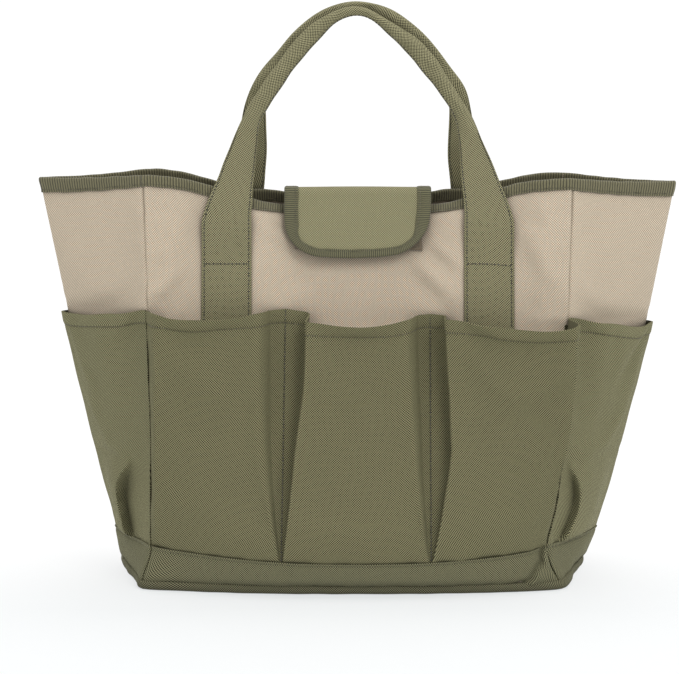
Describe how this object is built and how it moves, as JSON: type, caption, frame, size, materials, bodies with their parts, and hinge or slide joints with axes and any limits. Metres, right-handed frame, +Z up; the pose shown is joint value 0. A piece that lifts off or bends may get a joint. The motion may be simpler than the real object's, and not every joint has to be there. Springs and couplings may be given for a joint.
{
  "type": "garden tool bag",
  "caption": "Soft-sided garden tool tote with flared ends, outside pockets all round, folded strap handles and a fabric flap across the mouth.",
  "frame": {"origin": "middle of the underside, on the surface the bag stands on", "axes": "+X along the front to the right, +Y from the front to the back, +Z up; the front faces -Y"},
  "size_m": [0.5424, 0.2138, 0.4798],
  "materials": {
    "khaki_cloth": "matte",
    "green_cloth": "matte",
    "webbing": "matte",
    "edge_tape": "matte",
    "hook_and_loop": "matte",
    "board": "matte"
  },
  "bodies": {
    "bag": {"base_panel": "green_cloth", "base_seam_tape": "edge_tape", "front_panel": "khaki_cloth", "back_panel": "khaki_cloth", "left_end_panel": "khaki_cloth", "right_end_panel": "khaki_cloth", "corner_seam_tapes": "edge_tape", "front_pocket_band": "green_cloth", "back_pocket_band": "green_cloth", "left_end_pocket": "green_cloth", "right_end_pocket": "green_cloth", "front_base_band": "green_cloth", "back_base_band": "green_cloth", "left_base_band": "green_cloth", "right_base_band": "green_cloth", "rim_tape_front": "edge_tape", "rim_tape_back": "edge_tape", "rim_tape_left": "edge_tape", "rim_tape_right": "edge_tape", "front_strap_left": "webbing", "front_strap_right": "webbing", "back_strap_left": "webbing", "back_strap_right": "webbing", "flap_anchor": "webbing", "front_loop_patch": "hook_and_loop"},
    "front_handle": {"front_handle": "webbing"},
    "back_handle": {"back_handle": "webbing"},
    "flap_bridge": {"flap_bridge": "webbing", "flap_bridge_tape": "edge_tape"},
    "flap_tab": {"flap_tab": "webbing", "flap_tab_tape": "edge_tape", "flap_hook_patch": "hook_and_loop"},
    "base_board": {"base_board": "board"}
  },
  "joints": [
    {"name": "front_handle_swing", "type": "hinge", "parent": "bag", "child": "front_handle", "pos_m": [0, -0.0416, 0.2686], "axis": [1, 0, 0], "range_deg": [0, 140]},
    {"name": "back_handle_swing", "type": "hinge", "parent": "bag", "child": "back_handle", "pos_m": [0, 0.0416, 0.2686], "axis": [-1, 0, 0], "range_deg": [0, 140]},
    {"name": "flap_lift", "type": "hinge", "parent": "bag", "child": "flap_bridge", "pos_m": [0, 0.0207, 0.3232], "axis": [-1, 0, 0], "range_deg": [0, 240]},
    {"name": "flap_peel", "type": "hinge", "parent": "flap_bridge", "child": "flap_tab", "pos_m": [0, -0.0205, 0.3274], "axis": [-1, 0, 0], "range_deg": [0, 84]},
    {"name": "board_lift", "type": "slide", "parent": "bag", "child": "base_board", "axis": [0, 0, 1], "range_m": [0, 0.085]}
  ]
}
